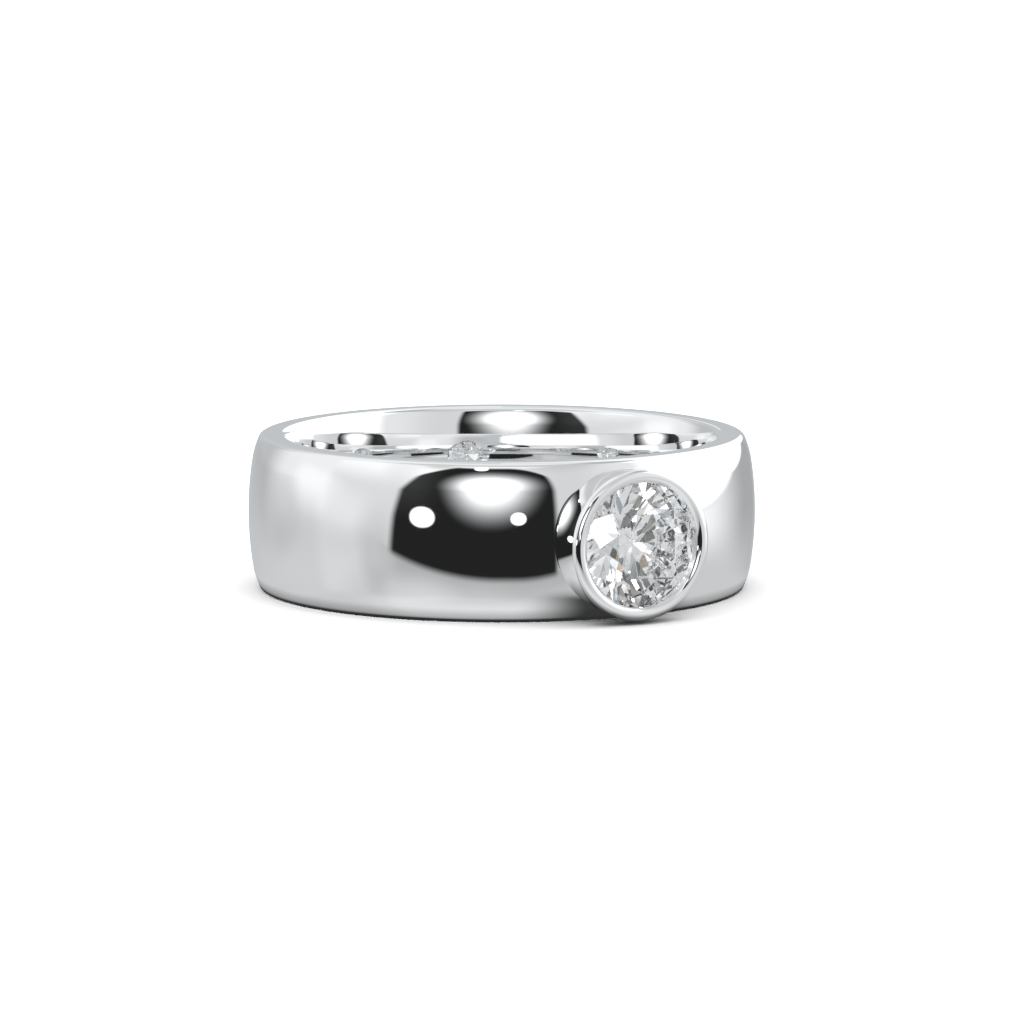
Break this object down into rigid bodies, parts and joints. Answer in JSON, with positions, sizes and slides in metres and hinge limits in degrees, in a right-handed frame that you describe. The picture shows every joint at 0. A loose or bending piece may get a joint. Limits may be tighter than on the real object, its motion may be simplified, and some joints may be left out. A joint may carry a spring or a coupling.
{
  "type": "bezel set ring",
  "caption": "Wide polished finger ring, lying on its side, with a domed comfort-fit band and a round brilliant in a raised tube bezel with an open back.",
  "frame": {"origin": "middle of the finger hole: on its axis, at half the band's width", "axes": "+Z along the finger hole, upwards as the ring lies on its side; -Y out through the stone's table; +X to the right of the stone"},
  "size_m": [0.02, 0.0218, 0.006],
  "materials": {
    "polished_white_metal": "mirror polished white precious metal, rhodium bright, bare of any mark",
    "clear_stone": "colourless faceted gem, high lustre with strong dispersion"
  },
  "bodies": {
    "root": {"band_with_bezel": "polished_white_metal", "stone": "clear_stone"}
  },
  "joints": []
}
